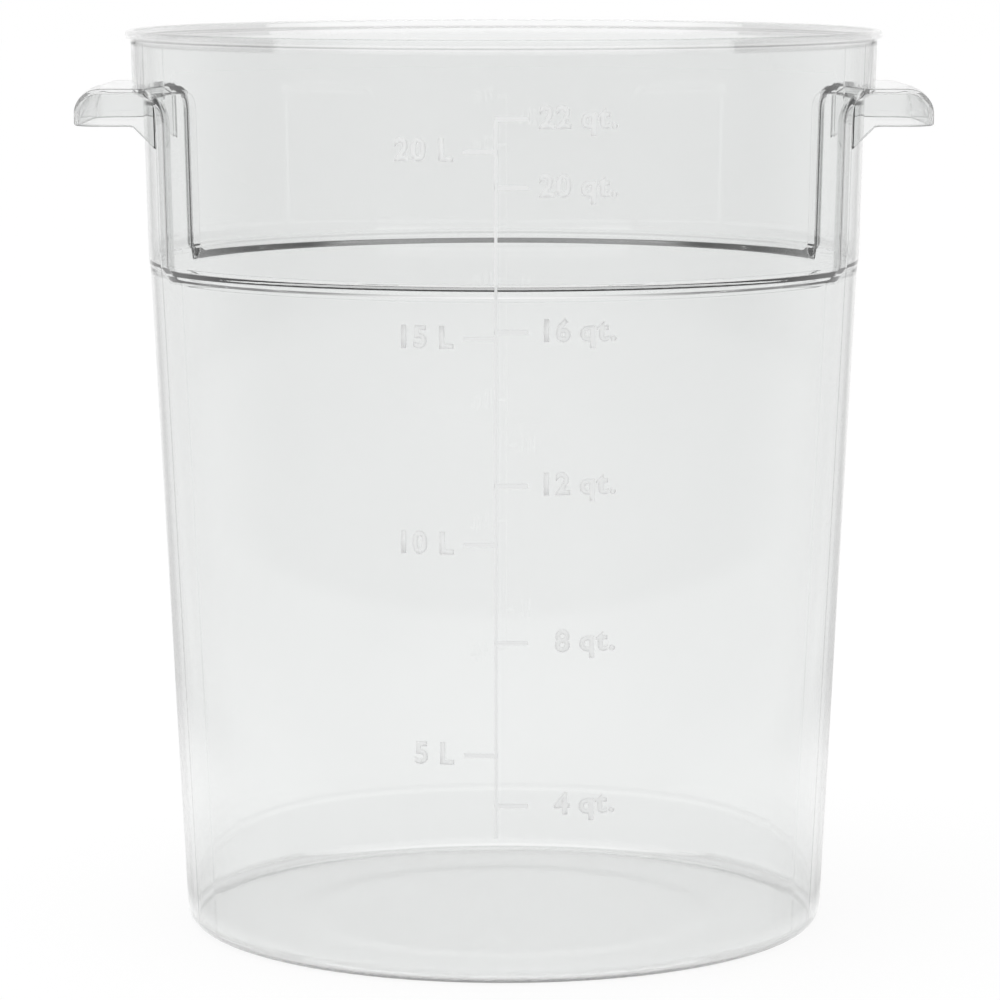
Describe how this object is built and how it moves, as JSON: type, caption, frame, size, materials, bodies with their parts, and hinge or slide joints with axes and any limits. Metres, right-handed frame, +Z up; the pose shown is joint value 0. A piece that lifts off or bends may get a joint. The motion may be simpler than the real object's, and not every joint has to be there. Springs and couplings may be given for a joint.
{
  "type": "food storage container",
  "caption": "Clear round food storage container with a wide mouth, a stepped upper band, hollow side grips and a raised volume scale; holds dry goods, sauces and chopped produce",
  "frame": {"origin": "middle of the base, on the surface the container stands on", "axes": "+Z up through the open mouth, +X to the right-hand grip, -Y to the side with the volume scale"},
  "size_m": [0.3562, 0.3146, 0.375],
  "materials": {
    "clear_plastic": "clear polycarbonate, very slightly grey-green, polished",
    "frosted_mark": "the same clear plastic, moulded with a fine frosted face"
  },
  "bodies": {
    "root": {"tub": "clear_plastic", "rim": "clear_plastic", "handle_left": "clear_plastic", "handle_right": "clear_plastic", "volume_scale": "frosted_mark"}
  },
  "joints": []
}
